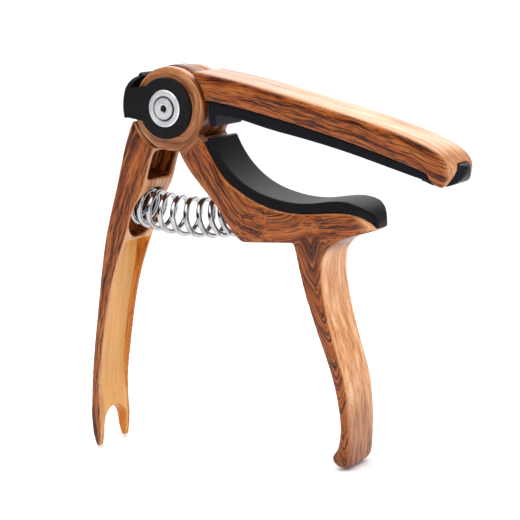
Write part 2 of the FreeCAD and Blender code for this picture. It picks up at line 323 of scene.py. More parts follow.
def grain_coordinates(limbs: tuple[Limb, ...], points: np.ndarray) -> np.ndarray:
    """Coordinates of the printed grain.

    Args:
        limbs: The casting's limbs.
        points: Places from the pivot, in millimetres.

    Returns:
        Millimetres along, across and through the casting, one row for each point.
    """
    xz = points[:, [0, 2]]
    total = np.zeros(len(points))
    u = np.zeros(len(points))
    v = np.zeros(len(points))
    for limb in limbs:
        along, across, distance = limb.follow(xz)
        weight = 1.0 / (NEIGHBOUR_FLOOR + (distance / limb.reach) ** 2) ** 3
        total += weight
        u += weight * along
        v += weight * across
    return np.stack([u / total, v / total, points[:, 1]], axis=1)


def wrapped(grain: np.ndarray, facing: np.ndarray) -> np.ndarray:
    """Grain coordinates wrapped round the edges, as a printed film lies on tops and fronts.

    Args:
        grain: Millimetres along, across and through.
        facing: Vertex normals.

    Returns:
        Grain with across and through changed over where a face turns from the side.
    """
    along, across, through = grain.T
    cheek = smooth(*FILM_TURN, np.abs(facing[:, 1]))
    return np.stack([along, through + (across - through) * cheek,
                     across + (through - across) * cheek], axis=1)


# ---- finishes ------------------------------------------------------------------------------------
class Metal(Enum):
    """Plating and turning of the metal pieces."""

    CHROME = "bright chrome plate on drawn wire"
    NICKEL = "satin nickel plate on a turned face"
    STEEL = "bright zinc-plated steel screw"
    BRASS = "turned brass"


def new_material(name: str) -> tuple[Material, Tree, bpy.types.Node]:
    """An empty node material with a Principled shader on its output.

    Args:
        name: The material's name.

    Returns:
        The material, its node tree and its shader.
    """
    material = bpy.data.materials.new(name)
    material.use_nodes = True
    tree = material.node_tree
    tree.nodes.clear()
    shader = add_node(tree, "ShaderNodeBsdfPrincipled")
    add_node(tree, "ShaderNodeOutputMaterial", links={"Surface": shader.outputs["BSDF"]})
    return material, tree, shader


def clouded(tree: Tree, shader: bpy.types.Node, size_mm: float, detail: float,
            stops: Stops) -> tuple[Socket, Socket]:
    """Gives a shader a colour that drifts in soft patches.

    Args:
        tree: The material's tree.
        shader: Its shader.
        size_mm: Size of the patches.
        detail: Octaves of their noise.
        stops: Positions and sRGB hex codes of the colours.

    Returns:
        Object coordinates and the noise.
    """
    place = add_node(tree, "ShaderNodeTexCoord").outputs["Object"]
    cloud = add_node(tree, "ShaderNodeTexNoise",
                     values={"Scale": 1 / (size_mm * MM), "Detail": detail},
                     links={"Vector": place}).outputs["Fac"]
    colour = add_node(tree, "ShaderNodeValToRGB", links={0: cloud}, stops=stops).outputs[0]
    tree.links.new(colour, shader.inputs["Base Color"])
    return place, cloud


@dataclass(frozen=True)
class WoodPrint:
    """Water-transfer printed wood grain under clear lacquer on a zinc casting.

    The print gives fine, wandering dark veins and broader bands on mid brown, and the lacquer
    gives a clear highlight over them. Over the print, painted light is laid by facing: a pale
    painted highlight, a golden channel floor and amber channel walls.
    """

    name: str
    dark: str = "#2E0F04"
    deep: str = "#63290D"
    middle: str = "#954A1A"
    light: str = "#B0672D"
    # Painted light laid over the print by which way a surface faces: peach and glow are a painted highlight,
    # highlight_vein the veins seen in it, gold a lit channel floor, amber the channel's walls, the fork's
    # insides and the far rims.
    peach: str = "#D79E6C"
    glow: str = "#E3BC95"
    highlight_vein: str = "#C58B5C"
    gold_shade: str = "#C48E4E"
    gold: str = "#E0A45A"
    amber_shade: str = "#9C4F0C"
    amber: str = "#CE7A16"
    clear: str = "#FFFFFF"
    # How often each pattern repeats in a millimetre along, across and through. The real pores are
    # finer than show, so they are drawn this coarse.
    figure: Scale = (0.06, 1 / 1.5, 0.26)        # broad dark bands 1.5 mm apart
    vein: Scale = (0.08, 1 / 0.5, 0.7)           # fine dark veins 0.5 mm apart
    pore: Scale = (1 / 3.6, 1 / 0.32, 2.2)       # dashes 0.32 mm across and 3.6 mm long
    slow: Scale = (0.045, 0.10, 0.07)            # the veins' long bends
    quick: Scale = (0.24, 0.34, 0.2)             # and their ripples
    wander_mm: float = 4.0    # how far the bends push the veins
    ripple_mm: float = 0.9
    vein_ink: float = 0.88
    pore_ink: float = 0.70
    highlight_vein_ink: float = 0.5
    ground_roughness: float = 0.38
    ground_specular: float = 0.18
    lacquer_ior: float = 1.5
    lacquer_weight: float = 0.26
    lacquer_roughness: float = 0.09
    peel_per_mm: float = 0.35    # the lacquer's faint orange peel
    peel_height: float = 0.0004

    def make(self) -> Material:
        """Builds the material; it reads the piece's grain and its painted_light shares of painted light.

        Returns:
            The material.
        """
        material, tree, shader = new_material(self.name)
        grain = add_node(tree, "ShaderNodeAttribute", {"attribute_name": "grain"}).outputs["Vector"]
        painted_light = add_node(tree, "ShaderNodeAttribute", {"attribute_name": "painted_light"}).outputs["Vector"]
        bent = self.wander(tree, grain)
        figure = self.streaks(tree, bent, self.figure, 4.0)
        vein = self.streaks(tree, bent, self.vein, 3.0)
        pore = self.streaks(tree, bent, self.pore, 2.0)
        ramps = {
            "ground": (figure, ((0.28, self.dark), (0.38, self.deep), (0.47, self.middle),
                                (0.72, self.light))),
            "veins": (vein, ((0.41, self.dark), (0.49, self.clear))),
            "pores": (pore, ((0.38, self.dark), (0.47, self.clear))),
            "faint": (vein, ((0.38, self.highlight_vein), (0.55, self.clear))),
            # Painted light: the pale painted highlight, the lit golden floor and the amber walls.
            "painted_highlight": (figure, ((0.30, self.light), (0.50, self.peach), (0.68, self.glow))),
            "floor": (figure, ((0.3, self.gold_shade), (0.7, self.gold))),
            "wall": (vein, ((0.34, self.amber_shade), (0.55, self.amber))),
        }
        layer = {name: add_node(tree, "ShaderNodeValToRGB", links={0: source},
                                stops=stops).outputs[0]
                 for name, (source, stops) in ramps.items()}
        for ground, ink, amount in (("ground", "veins", self.vein_ink),
                                    ("ground", "pores", self.pore_ink),
                                    ("painted_highlight", "faint", self.highlight_vein_ink)):
            layer[ground] = add_node(tree, "ShaderNodeMixRGB", {"blend_type": "MULTIPLY"},
                                     {0: amount}, {1: layer[ground], 2: layer[ink]}).outputs[0]
        # Mixes the painted light over the print: x the painted highlight, y the golden floor, z the amber
        # walls.
        share = add_node(tree, "ShaderNodeSeparateXYZ", links={0: painted_light}).outputs
        colour = layer["ground"]
        for axis, name in (("X", "painted_highlight"), ("Y", "floor"), ("Z", "wall")):
            colour = add_node(tree, "ShaderNodeMixRGB",
                              links={0: share[axis], 1: colour, 2: layer[name]}).outputs[0]
        tree.links.new(colour, shader.inputs["Base Color"])
        shader.inputs["Roughness"].default_value = self.ground_roughness
        shader.inputs["IOR"].default_value = self.lacquer_ior
        shader.inputs["Specular IOR Level"].default_value = self.ground_specular
        shader.inputs["Coat Weight"].default_value = self.lacquer_weight
        shader.inputs["Coat Roughness"].default_value = self.lacquer_roughness
        peel = add_node(tree, "ShaderNodeTexNoise",
                        values={"Scale": self.peel_per_mm, "Detail": 1.0},
                        links={"Vector": grain})
        bump = add_node(tree, "ShaderNodeBump",
                        values={"Strength": 0.05, "Distance": self.peel_height},
                        links={"Height": peel.outputs[0]})
        tree.links.new(bump.outputs["Normal"], shader.inputs["Coat Normal"])
        return material

    def wander(self, tree: Tree, grain: Socket) -> Socket:
        """Pushes the grain sideways by slow and quick noise, so that streaks wander.

        Args:
            tree: The material's tree.
            grain: Grain coordinates.

        Returns:
            The pushed coordinates.
        """
        slow = self.streaks(tree, grain, self.slow, 2.0)
        quick = self.streaks(tree, grain, self.quick, 2.0)
        found = worked_out(tree, {"slow": slow, "quick": quick}, (
            ("bend", "MULTIPLY_ADD", "slow", self.wander_mm, -self.wander_mm / 2),
            ("push", "MULTIPLY_ADD", "quick", self.ripple_mm, "bend")))
        push = add_node(tree, "ShaderNodeCombineXYZ", links={"Y": found["push"]})
        moved = add_node(tree, "ShaderNodeVectorMath", {"operation": "ADD"},
                         links={0: grain, 1: push.outputs[0]})
        return moved.outputs[0]

    @staticmethod
    def streaks(tree: Tree, source: Socket, scale: Scale,
                detail: float) -> Socket:
        """Noise drawn out into streaks.

        Args:
            tree: The material's tree.
            source: Grain coordinates.
            scale: How often it repeats in a millimetre along, across and through.
            detail: Octaves of the noise.

        Returns:
            The noise's height.
        """
        scaled = add_node(tree, "ShaderNodeVectorMath", {"operation": "MULTIPLY"}, {1: scale},
                          {0: source})
        noise = add_node(tree, "ShaderNodeTexNoise",
                         values={"Scale": 1.0, "Detail": detail, "Roughness": 0.62},
                         links={"Vector": scaled.outputs[0]})
        return noise.outputs[0]


@dataclass(frozen=True)
class Rubber:
    """Compression-moulded rubber: near black, softly glossy, with a fine moulded skin."""

    name: str
    colour: str
    worn: str
    roughness: float
    cloud_mm: float = 9.0     # across the patches of wear
    skin_mm: float = 0.45     # a real skin is finer than shows, so it is drawn this coarse
    skin_height: float = 0.00006
    ior: float = 1.52
    specular: float = 0.11    # a matt skin sends back less than smooth rubber

    def make(self) -> Material:
        """Builds the material.

        Returns:
            The material.
        """
        material, tree, shader = new_material(self.name)
        place, cloud = clouded(tree, shader, self.cloud_mm, 3.0,
                               ((0.35, self.colour), (0.68, self.worn)))
        skin = add_node(tree, "ShaderNodeTexNoise",
                        values={"Scale": 1 / (self.skin_mm * MM), "Detail": 2.0},
                        links={"Vector": place})
        rough = add_node(tree, "ShaderNodeMapRange",
                         values={"To Min": self.roughness - 0.05, "To Max": self.roughness + 0.08},
                         links={"Value": cloud})
        tree.links.new(rough.outputs[0], shader.inputs["Roughness"])
        shader.inputs["IOR"].default_value = self.ior
        shader.inputs["Specular IOR Level"].default_value = self.specular
        bump = add_node(tree, "ShaderNodeBump",
                        values={"Strength": 0.16, "Distance": self.skin_height},
                        links={"Height": skin.outputs["Fac"]})
        tree.links.new(bump.outputs["Normal"], shader.inputs["Normal"])
        return material


@dataclass(frozen=True)
class Plating:
    """Plated or turned metal, with faint circular tool marks on a turned face."""

    name: str
    kind: Metal
    colour: str
    bright: str
    roughness: float
    mark_mm: float = 0.28     # between tool marks, drawn coarser than real ones so that they show
    mark_height: float = 0.00003
    gap_shade_mm: float = 0.0    # radius of a line of painted shade where a seated part's gap is
    gap_shade_wide_mm: float = 0.34
    socket_mm: float = 0.0    # radius of the key's socket, which little light reaches
    cloud_mm: float = 3.0     # across the patches of duller plate

    def make(self) -> Material:
        """Builds the material.

        Returns:
            The material.
        """
        material, tree, shader = new_material(self.name)
        place, cloud = clouded(tree, shader, self.cloud_mm, 2.0,
                               ((0.3, self.colour), (0.7, self.bright)))
        rough = add_node(tree, "ShaderNodeMapRange",
                         values={"To Min": self.roughness * 0.8, "To Max": self.roughness * 1.3},
                         links={"Value": cloud})
        tree.links.new(rough.outputs[0], shader.inputs["Roughness"])
        shader.inputs["Metallic"].default_value = 1.0
        if self.kind is not Metal.CHROME:
            self.turned(tree, shader, place)
        return material

    def turned(self, tree: Tree, shader: bpy.types.Node,
               place: Socket) -> None:
        """Adds what runs round a turned face: its tool marks, and painted shade along a seated part's gap
        and in the key's socket.

        Args:
            tree: The material's tree.
            shader: Its shader, which has the clean plate's colour.
            place: Object coordinates.
        """
        centred = add_node(tree, "ShaderNodeVectorMath", {"operation": "SUBTRACT"},
                           {1: tuple(CAPO.at(0, 0))}, {0: place})
        flat = add_node(tree, "ShaderNodeVectorMath", {"operation": "MULTIPLY"},
                        {1: (1.0, 0.0, 1.0)}, {0: centred.outputs[0]})
        radius = add_node(tree, "ShaderNodeVectorMath", {"operation": "LENGTH"},
                          links={0: flat.outputs[0]}).outputs["Value"]
        # Painted shade: a dark line along the gap round a seated part, and a darkened key socket.
        if self.gap_shade_mm:
            gap = worked_out(tree, {"radius": radius}, (
                ("away", "SUBTRACT", "radius", self.gap_shade_mm * MM),
                ("gap", "ABSOLUTE", "away")))["gap"]
            unshaded = add_node(tree, "ShaderNodeMapRange",
                             values={"From Max": self.gap_shade_wide_mm * MM, "To Min": 0.05},
                             links={"Value": gap})
            lit = add_node(tree, "ShaderNodeMapRange",
                           values={"From Min": self.socket_mm * 0.8 * MM,
                                   "From Max": (self.socket_mm + 0.05) * MM, "To Min": 0.04},
                           links={"Value": radius})
            seen = add_node(tree, "ShaderNodeMath", {"operation": "MINIMUM"},
                            links={0: unshaded.outputs[0], 1: lit.outputs[0]})
            plate = shader.inputs["Base Color"].links[0].from_socket
            painted_gap_shade = add_node(tree, "ShaderNodeMixRGB", {"blend_type": "MULTIPLY"}, {0: 1.0},
                              {1: plate, 2: seen.outputs[0]})
            tree.links.new(painted_gap_shade.outputs[0], shader.inputs["Base Color"])
        wave = worked_out(tree, {"radius": radius}, (
            ("turns", "MULTIPLY", "radius", 2 * math.pi / (self.mark_mm * MM)),
            ("wave", "SINE", "turns")))["wave"]
        bump = add_node(tree, "ShaderNodeBump",
                        values={"Strength": 0.10, "Distance": self.mark_height},
                        links={"Height": wave})
        tree.links.new(bump.outputs["Normal"], shader.inputs["Normal"])


@dataclass(frozen=True)
class PlainWasher:
    """White acetal washer with a slightly waxy face."""

    name: str = "white_acetal"
    shade: str = "#C9C6BC"
    colour: str = "#DAD8D0"
    roughness: float = 0.42
    cloud_mm: float = 2.0     # across its faint patches

    def make(self) -> Material:
        """Builds the material.

        Returns:
            The material.
        """
        material, tree, shader = new_material(self.name)
        clouded(tree, shader, self.cloud_mm, 2.0, ((0.3, self.shade), (0.7, self.colour)))
        shader.inputs["Roughness"].default_value = self.roughness
        return material


# ---- meshes from the frame's nodes ---------------------------------------------------------------
def merged(node: Piece) -> bmesh.types.BMesh:
    """A copy of a node's mesh with its triangles joined and its flat faces made whole.

    Args:
        node: One of the frame's nodes.

    Returns:
        The copy, which its user frees.
    """
    bm = bmesh.new()
    bm.from_mesh(node.data)
    bmesh.ops.remove_doubles(bm, verts=bm.verts, dist=WELD)
    bmesh.ops.dissolve_degenerate(bm, dist=WELD, edges=bm.edges)
    bmesh.ops.recalc_face_normals(bm, faces=bm.faces)
    bmesh.ops.dissolve_limit(bm, angle_limit=math.radians(FLAT_DEG), verts=bm.verts, edges=bm.edges)
    return bm


def as_object(name: str, bm: bmesh.types.BMesh) -> Piece:
    """Makes an object of a mesh and links it to the scene.

    Args:
        name: Name of the object and of its mesh.
        bm: Mesh; it is freed.

    Returns:
        The new object.
    """
    mesh = bpy.data.meshes.new(name)
    bm.to_mesh(mesh)
    bm.free()
    obj = bpy.data.objects.new(name, mesh)
    bpy.context.scene.collection.objects.link(obj)
    return obj


def weigh_edges(bm: bmesh.types.BMesh, radius_at: Callable[[np.ndarray], float],
                widest: float) -> None:
    """Gives each sharp edge its rounding as a bevel weight.

    Args:
        bm: Mesh to mark.
        radius_at: Radius in millimetres from an edge's middle, given from the pivot.
        widest: Radius that a weight of 1 stands for.
    """
    layers = bm.edges.layers.float
    weights = layers.get("bevel_weight_edge") or layers.new("bevel_weight_edge")
    for edge in bm.edges:
        if len(edge.link_faces) != 2 or edge.calc_face_angle(0.0) < math.radians(SHARP_DEG):
            continue
        middle = CAPO.local(np.array([(edge.verts[0].co + edge.verts[1].co) / 2]))[0]
        radius = radius_at(middle)
        if radius > 0:
            edge[weights] = min(1.0, radius / widest)


def finished(obj: Piece) -> Piece:
    """Turns an object's modifiers into its plain mesh.

    Args:
        obj: Object with modifiers.

    Returns:
        The same object.
    """
    graph = bpy.context.evaluated_depsgraph_get()
    mesh = bpy.data.meshes.new_from_object(obj.evaluated_get(graph))
    old = obj.data
    obj.modifiers.clear()
    obj.data = mesh
    bpy.data.meshes.remove(old)
    return obj


def rounded(name: str, bm: bmesh.types.BMesh, widest: float, clamped: bool = False,
            segments: int = 3) -> Piece:
    """Rounds the weighed edges of a mesh and returns it as a new object.

    Where two roundings meet at a tight corner a vertex can be thrown off the shape, so each vertex
    further from the first surface than a rounding can take it is brought back to that surface.

    Args:
        name: Name of the piece.
        bm: Mesh with bevel weights; it is freed.
        widest: Radius in millimetres that a weight of 1 stands for.
        clamped: Narrow every rounding so that none can cross another.
        segments: Faces across each rounding.

    Returns:
        The new object, linked to the scene.
    """
    surface = BVHTree.FromBMesh(bm)
    obj = as_object(name, bm)
    bevel = obj.modifiers.new("edges", "BEVEL")
    bevel.limit_method = "WEIGHT"
    bevel.width = widest * MM
    bevel.segments = segments
    bevel.use_clamp_overlap = clamped
    bevel.miter_outer = "MITER_ARC"
    finished(obj)
    furthest = MOST_STRAY * widest * MM
    for vertex in obj.data.vertices:
        place, _, _, distance = surface.find_nearest(vertex.co)
        if distance > furthest:
            vertex.co = place
    return obj


def softened(obj: Piece, surface: BVHTree, radius_of: Callable[[np.ndarray], np.ndarray],
             voxel: float, rounds: int) -> None:
    """Makes a mesh as even as cast metal and rounds its edges, at each place by its own radius.

    The mesh becomes small even faces, which are then relaxed. A vertex may leave the first surface
    only as far as its rounding takes it, so that thin walls keep their thickness.

    Args:
        obj: Piece to soften.
        surface: Its first, sharp surface.
        radius_of: Radii in millimetres from places given from the pivot.
        voxel: Size of the even faces in millimetres.
        rounds: How often the mesh is relaxed.
    """
    remesh = obj.modifiers.new("even", "REMESH")
    remesh.mode = "VOXEL"
    remesh.voxel_size = voxel * MM
    finished(obj)
    places = vertex_vectors(obj.data, "co")
    ends = np.empty(len(obj.data.edges) * 2, dtype=np.int64)
    obj.data.edges.foreach_get("vertices", ends)
    a, b = ends.reshape(-1, 2).T
    count = np.bincount(ends, minlength=len(places))[:, None]
    radii = radius_of(CAPO.local(places))
    widest = voxel * math.sqrt(rounds)
    share = np.clip((radii / widest) ** 2, RELAX_LEAST, 1.0)[:, None] * RELAX_FULL
    for _ in range(rounds):
        total = np.zeros_like(places)
        for axis in range(3):
            total[:, axis] = np.bincount(a, places[b, axis], len(places))
            total[:, axis] += np.bincount(b, places[a, axis], len(places))
        places += share * (total / count - places)
    for i, radius in enumerate(radii):
        foot, _, _, distance = surface.find_nearest(Vector(places[i]))
        most = radius * CORNER_LOSS * SLACK * MM
        if distance > most:
            places[i] = np.array(foot) + (places[i] - np.array(foot)) * (most / distance)
    obj.data.vertices.foreach_set("co", places.ravel())
    obj.data.update()


def shade(obj: Piece) -> None:
    """Smooth shading that keeps the broad faces flat."""
    obj.data.shade_smooth()
    obj.modifiers.new("flats", "WEIGHTED_NORMAL").weight = FLATS_WEIGHT
    finished(obj)


def wear(obj: Piece, material: Material) -> None:
    """Gives an object one material, in place of any it has."""
    obj.data.materials.clear()
    obj.data.materials.append(material)


def write_vectors(mesh: bpy.types.Mesh, name: str, values: np.ndarray) -> None:
    """Stores one vector for each vertex under an attribute's name."""
    attribute = mesh.attributes.get(name) or mesh.attributes.new(name, "FLOAT_VECTOR", "POINT")
    attribute.data.foreach_set("vector", values.astype(np.float32).ravel())


# ---- castings ------------------------------------------------------------------------------------
class Assembly:
    """A part of the capo that makes its own objects."""

    def build(self) -> list[Piece]:
        """Makes the objects and puts each in place of its node."""
        raise NotImplementedError


@dataclass
class Casting(Assembly):
    """A printed casting: rounded edges, grain that follows its limbs, and painted light by facing."""

    nodes: dict
    finish: WoodPrint
    voxel: float = 0.33
    rounds: int = 26
    skin: float = 1.4         # how far in from the sides the outer edges reach
    bore_radius: float = 5.0
    node: str = ""
    body: str = ""
    limbs: tuple[Limb, ...] = ()

    def radius_of(self, places: np.ndarray) -> np.ndarray:
        """Rounding in millimetres at places given from the pivot."""
        raise NotImplementedError

    def painted_light_at(self, places: np.ndarray, facing: np.ndarray) -> np.ndarray:
        """Painted light: shares of pale highlight, golden floor and amber walls for each vertex."""
        raise NotImplementedError

    def grain_at(self, places: np.ndarray) -> np.ndarray:
        """Grain coordinates along, across and through the limbs, in millimetres."""
        return grain_coordinates(self.limbs, places)

    def build(self) -> list[Piece]:
        """Makes the piece, dresses it and puts it in place of its node.

        Returns:
            The piece.
        """
        bm = merged(self.nodes[self.node])
        surface = BVHTree.FromBMesh(bm)
        obj = as_object(f"{self.node}_casting", bm)
        softened(obj, surface, self.radius_of, self.voxel, self.rounds)
        obj.data.shade_smooth()
        places = CAPO.local(vertex_vectors(obj.data, "co"))
        facing = vertex_vectors(obj.data, "normal")
        write_vectors(obj.data, "grain", wrapped(self.grain_at(places), facing))
        # Painted light: the shares that the wood print turns into a pale highlight, a golden floor and amber
        # walls.
        write_vectors(obj.data, "painted_light", self.painted_light_at(places, facing))
        wear(obj, self.finish.make())
        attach(obj, self.body)
        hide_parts(self.node)
        return [obj]


@dataclass
class FrameCasting(Casting):
    """Two ears, the diagonal arm, the cradle and the front trigger."""

    node: str = "frame"
    body: str = "frame"
    limbs: tuple[Limb, ...] = (
        Limb(((-6.0, 8.0), (4.0, -6.0), (14.0, -23.0), (20.0, -27.5)), flip=True),
        Limb(((19.0, -27.0), (27.0, -27.8), (36.0, -27.0), (50.0, -26.0)), flip=True, reach=5.0),
        Limb(((35.0, -27.0), (35.6, -40.0), (39.0, -58.0), (39.9, -80.0)), chevron=0.38, reach=5.0),
    )
    limb_edge: float = 1.15
    trigger_edge: float = 1.8
    ear_edge: float = 1.0
    inner_edge: float = 0.3
    pocket_edge: float = 0.4
    cradle_edge: float = 0.8
    ear_radius: float = 12.0
    hub_radius: float = 9.6
    arc_fade: float = 2.0     # over which the arcs round the hub give way to the limbs
    pocket: Region = Region(right=20.0, low=-31.5)
    trigger: Region = Region(left=33.0, high=-33.0)
    cradle: Region = Region(left=25.0, low=-27.0)
    # Painted light: ahead is the way the trigger's front looks; front, hub, ledge and cheek lay a pale
    # painted highlight on the trigger's front, the hub's top, upward faces right of the pivot and the ears'
    # sides, and foot_fade and foot_share thin it towards the foot.
    ahead: Span = (0.94, 0.34)          # x and z of the way that the trigger's front looks
    front: PaintedLight = PaintedLight((0.30, 0.85), (28.0, 34.0))
    foot_fade: Span = (-82.0, -56.0)
    foot_share: float = 0.12
    hub: PaintedLight = PaintedLight((0.45, 0.9), (-2.0, 3.0), 0.7)
    ledge: PaintedLight = PaintedLight((0.4, 0.8), (5.0, 8.0), 0.3)
    cheek: PaintedLight = PaintedLight((0.6, 0.9), (11.5, 9.5), 0.36)

    def radius_of(self, places: np.ndarray) -> np.ndarray:
        """Generous on the trigger, medium on ears and arm, small inside the slot and pocket."""
        x, y, z = places.T
        from_pivot = np.hypot(x, z)
        outer = np.abs(y) > CAPO.half_width - self.skin
        rows = ((from_pivot < self.bore_radius, self.inner_edge),
                ((from_pivot < self.ear_radius) & ~outer, self.inner_edge),
                (from_pivot < self.ear_radius, self.ear_edge),
                (self.pocket.holds(x, z) & ~outer, self.pocket_edge),
                (self.trigger.holds(x, z), self.trigger_edge),
                (self.cradle.holds(x, z), self.cradle_edge))
        return np.select(*map(list, zip(*rows)), self.limb_edge)

    def grain_at(self, places: np.ndarray) -> np.ndarray:
        """Grain along the limbs, which turns into arcs around the hub."""
        x, y, z = places.T
        from_pivot = np.hypot(x, z)
        arcs = np.stack([self.hub_radius * np.arctan2(z, x), from_pivot, y], axis=1)
        share = smooth(self.hub_radius + self.arc_fade, self.hub_radius, from_pivot)[:, None]
        return super().grain_at(places) * (1 - share) + arcs * share

    def painted_light_at(self, places: np.ndarray, facing: np.ndarray) -> np.ndarray:
        """Painted highlight: pale over the hub and down the trigger's front, less of it towards the foot,
        and faint on the ears' sides and on faces that look up right of the pivot.
        """
        x, _, z = places.T
        east, side, up = facing.T
        foot = self.foot_share + (1 - self.foot_share) * smooth(*self.foot_fade, z)
        trigger = self.front.at(east * self.ahead[0] + up * self.ahead[1], x) * foot
        # Painted highlight share; the frame gets no golden or amber painted light.
        pale = np.maximum.reduce([trigger, self.hub.at(up, z), self.ledge.at(up, x),
                                  self.cheek.at(np.abs(side), np.hypot(x, z))])
        return np.stack([pale, np.zeros(len(x)), np.zeros(len(x))], axis=1)


@dataclass
class LeverCasting(Casting):
    """Upper bar, hinge tab and the channelled rear handle with its fork."""

    node: str = "lever"
    body: str = "lever"
    voxel: float = 0.35
    skin: float = 1.5
    limbs: tuple[Limb, ...] = (
        Limb(((8.0, 4.5), (24.0, 1.0), (46.0, -5.6), (70.0, -15.5)), reach=6.0),
        Limb(((-5.0, -4.0), (-10.0, -13.0), (-18.0, -30.0), (-25.5, -55.0), (-29.0, -70.0),
              (-29.6, -82.0)), flip=True, reach=6.0),
    )
    bar_edge: float = 1.7
    back_edge: float = 1.5
    rim_edge: float = 0.7
    inner_edge: float = 0.35
    bore_edge: float = 0.2
    tab_edge: float = 0.45
    tip_edge: float = 0.9
    under_edge: float = 0.35
    fork_edge: float = 0.8
    tab_radius: float = 12.5
    tab: Region = Region(low=-9.0)
    bar: Region = Region(left=8.0)
    tip: Region = Region(left=63.0)
    fork: Region = Region(high=-72.0)
    bar_middle: tuple[Point, ...] = ((10.0, 4.0), (40.0, -3.6), (56.0, -8.6), (64.0, -12.3),
                                     (69.0, -15.3), (71.0, -17.0))
    handle_middle: tuple[Point, ...] = ((-29.8, -80.0), (-29.0, -68.0), (-27.0, -58.0),
                                        (-23.8, -45.0), (-21.0, -36.0), (-15.7, -23.0),
                                        (-10.5, -12.0))
    hollow: Region = Region(right=-2.0, high=-10.4)
    hollow_half: float = 4.78
    pocket_foot: float = -30.9    # the coil's pocket is above, the open channel below
    # Painted light, laid by painted_light_at: top, top_fade, top_least and tip_end put a pale painted
    # highlight on the bar's top and end; the rim sizes put it on the handle's rims that face +x; the wall
    # and tine sizes put amber inside the channel and between the tines.
    top: PaintedLight = PaintedLight((0.45, 0.95), (4.0, 9.0))
    top_fade: Span = (12.0, 40.0)
    top_least: float = 0.45
    tip_end: PaintedLight = PaintedLight((0.3, 0.8), (58.0, 66.0), 0.6)
    rim_turn: Span = (0.4, 0.8)
    rim_right: float = 2.0
    rim_rise: float = 0.6
    rim_share: float = 0.9
    far_rim_top: float = -31.0
    wall_turn: Span = (0.3, 0.7)
    wall_lift: float = 0.5    # how far an upward or downward facing counts as wall
    tine_half: float = 4.3
    tine_top: float = -71.0
    tine_turn: float = 0.3
    tine_share: float = 0.7

    def right_of_middle(self, x: np.ndarray, z: np.ndarray) -> np.ndarray:
        """Distance to the right of the middle of the handle's thickness."""
        across, up = zip(*self.handle_middle)
        return x - np.interp(z, up, across)

    def radius_of(self, places: np.ndarray) -> np.ndarray:
        """Round along the bar's top and the handle's back, crisp inside the channels."""
        x, y, z = places.T
        from_pivot = np.hypot(x, z)
        outer = np.abs(y) > CAPO.half_width - self.skin
        on_top = z > np.interp(x, *zip(*self.bar_middle))
        rows = ((from_pivot < self.bore_radius, self.bore_edge),
                ((from_pivot < self.tab_radius) & self.tab.holds(x, z), self.tab_edge),
                (self.bar.holds(x, z) & on_top & outer, self.bar_edge),
                (self.tip.holds(x, z), self.tip_edge),
                (self.bar.holds(x, z), self.under_edge),
                (self.fork.holds(x, z), self.fork_edge),
                (~outer, self.inner_edge),
                (self.right_of_middle(x, z) < 0.0, self.back_edge))
        return np.select(*map(list, zip(*rows)), self.rim_edge)

    def painted_light_at(self, places: np.ndarray, facing: np.ndarray) -> np.ndarray:
        """Painted light by facing: a pale highlight on the bar's top and end and the handle's rims, a golden
        channel floor, and amber channel walls, fork insides and far rims.
        """
        x, y, z = places.T
        east, side, up = facing.T
        fade = self.top_least + (1 - self.top_least) * smooth(*self.top_fade, x)
        inside = (np.abs(y) < self.hollow_half) & self.hollow.holds(x, z)
        channel = inside & (z < self.pocket_foot)
        # Painted light: pale on the raised rims that face +x, amber in place of it on the far rims, gold on
        # the channel floor, amber on its walls and inside the fork.
        raised = ~inside | (z > self.pocket_foot) & (self.right_of_middle(x, z) > self.rim_rise)
        rim = smooth(*self.rim_turn, east) * (x < self.rim_right) * raised * self.rim_share
        far_rim = rim * (y > 0.0) * (z < self.far_rim_top)
        tines = (np.abs(y) < self.tine_half) & (z < self.tine_top) & (np.abs(side) > self.tine_turn)
        floor = channel * smooth(*self.rim_turn, east)
        wall = channel * smooth(*self.wall_turn, np.abs(side) + np.abs(up) * self.wall_lift)
        pale = np.maximum.reduce([self.top.at(up, x) * fade, self.tip_end.at(east, x),
                                  rim - far_rim])
        amber = np.maximum.reduce([wall * (1 - floor), far_rim, tines * self.tine_share])
        return np.stack([pale, floor, amber], axis=1)


# ---- rubber pieces -------------------------------------------------------------------------------
@dataclass
class RubberPiece(Assembly):
    """A moulded rubber piece made from its node, with soft edges."""

    nodes: dict
    node: str
    body: str
    finish: Rubber
    edge: float
    is_pad: bool = False

    def build(self) -> list[Piece]:
        """Makes the piece, dresses it and puts it in place of its node.

        Returns:
            The piece.
        """
        bm = merged(self.nodes[self.node])
        weigh_edges(bm, lambda place: self.edge, self.edge)
        obj = rounded(f"{self.node}_rubber", bm, self.edge, clamped=not self.is_pad)
        shade(obj)
        wear(obj, self.finish.make())
        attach(obj, self.body)
        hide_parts(self.node)
        return [obj]


